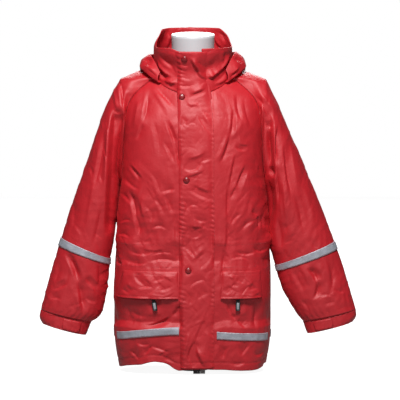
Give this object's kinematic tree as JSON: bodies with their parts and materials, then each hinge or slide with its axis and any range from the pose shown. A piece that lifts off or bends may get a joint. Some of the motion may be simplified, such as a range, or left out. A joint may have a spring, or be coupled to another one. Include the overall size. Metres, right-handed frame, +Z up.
{
  "type": "kids rain jacket on a dress form",
  "caption": "Zipped rain jacket with raglan sleeves, dropped hood, storm flap, pocket flaps and reflective bands, standing on a headless, armless dress form.",
  "frame": {"origin": "middle of the form's flat base, on the surface that it stands on", "axes": "+Z up the form, -Y out of the jacket's front, +X to the right as seen from in front"},
  "size_m": [0.6975, 0.2671, 0.7506],
  "materials": {
    "red_nylon": "thin coated nylon, slightly shiny",
    "reflective_tape": "grey reflective tape with fine ribs",
    "snap_cap": "glossy red lacquered cap",
    "zip_tape": "black woven zip tape",
    "black_plastic": "black moulded plastic",
    "grey_tape_end": "grey stiffened tape end",
    "form": "smooth pale matt form"
  },
  "bodies": {
    "jacket": {"dress_form": "form", "front_left": "red_nylon", "front_right": "red_nylon", "back": "red_nylon", "sleeve_left": "red_nylon", "sleeve_right": "red_nylon", "cuff_left": "red_nylon", "cuff_right": "red_nylon", "cuff_tab_left": "red_nylon", "cuff_tab_right": "red_nylon", "collar": "red_nylon", "hood": "red_nylon", "storm_flap": "red_nylon", "pocket_flap_left": "red_nylon", "pocket_flap_right": "red_nylon", "band_sleeve_left": "reflective_tape", "band_sleeve_right": "reflective_tape", "band_front_left": "reflective_tape", "band_front_right": "reflective_tape", "band_back": "reflective_tape", "snap_1": "snap_cap", "snap_2": "snap_cap", "snap_3": "snap_cap", "snap_4": "snap_cap", "front_zip": "zip_tape", "pocket_zip_left": "zip_tape", "pocket_zip_right": "zip_tape", "slider_left": "black_plastic", "slider_right": "black_plastic", "zip_box": "black_plastic", "zip_tape_end": "grey_tape_end"},
    "pull_tab_left": {"pull_left": "black_plastic"},
    "pull_tab_right": {"pull_right": "black_plastic"}
  },
  "joints": [
    {"name": "pull_left_swing", "type": "hinge", "parent": "jacket", "child": "pull_tab_left", "pos_m": [-0.0857, -0.11055, 0.16549], "axis": [-0.9734, 0.1498, -0.1732], "range_deg": [0, 90]},
    {"name": "pull_right_swing", "type": "hinge", "parent": "jacket", "child": "pull_tab_right", "pos_m": [0.09851, -0.10781, 0.16549], "axis": [-0.9749, -0.22, 0.0346], "range_deg": [0, 90]}
  ]
}
